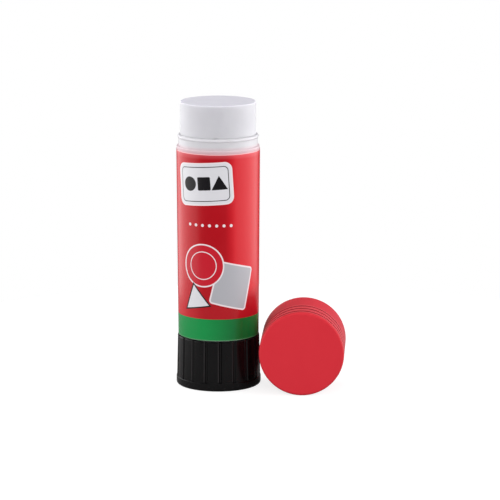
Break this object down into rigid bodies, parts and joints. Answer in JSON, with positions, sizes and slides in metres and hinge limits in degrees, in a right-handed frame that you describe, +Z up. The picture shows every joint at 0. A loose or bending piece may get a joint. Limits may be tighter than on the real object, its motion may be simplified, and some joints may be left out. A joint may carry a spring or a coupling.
{
  "type": "glue stick",
  "caption": "Twist-up glue stick standing on its fluted knob, glue wound out of the labelled tube, with its cap off and lying beside it.",
  "frame": {"origin": "centre of the knob's flat foot, on the surface that the stick stands on", "axes": "+Z up along the stick, towards the glue; the cap lies towards +X with its axis along Y and its closed end towards -Y"},
  "size_m": [0.0613, 0.0341, 0.1032],
  "materials": {
    "cap_plastic": "smooth moulded red plastic",
    "tube_plastic": "milky translucent moulded plastic",
    "label_film": "glossy printed film, red with a green band",
    "knob_plastic": "semi-gloss moulded black plastic",
    "inner_plastic": "natural white moulded plastic",
    "glue_mass": "smooth waxy off-white glue with a slight lilac cast"
  },
  "bodies": {
    "tube_body": {"tube": "tube_plastic", "label": "label_film"},
    "knob_body": {"base_knob": "knob_plastic", "spindle": "inner_plastic"},
    "carrier_body": {"glue_carrier": "inner_plastic", "glue": "glue_mass"},
    "cap_body": {"cap": "cap_plastic"}
  },
  "joints": [
    {"name": "knob_turn", "type": "hinge", "parent": "tube_body", "child": "knob_body", "pos_m": [0, 0, 0.0091], "axis": [0, 0, 1], "range_deg": [-1080, 4077]},
    {"name": "glue_rise", "type": "slide", "parent": "tube_body", "child": "carrier_body", "axis": [0, 0, 1], "range_m": [-0.012, 0.0453]},
    {"name": "cap_away", "type": "slide", "parent": "tube_body", "child": "cap_body", "axis": [1, 0, 0], "range_m": [0, 0.06]}
  ],
  "couplings": [
    {"joint": "knob_turn", "follows": "glue_rise", "rad_per_m": 1570.8}
  ]
}
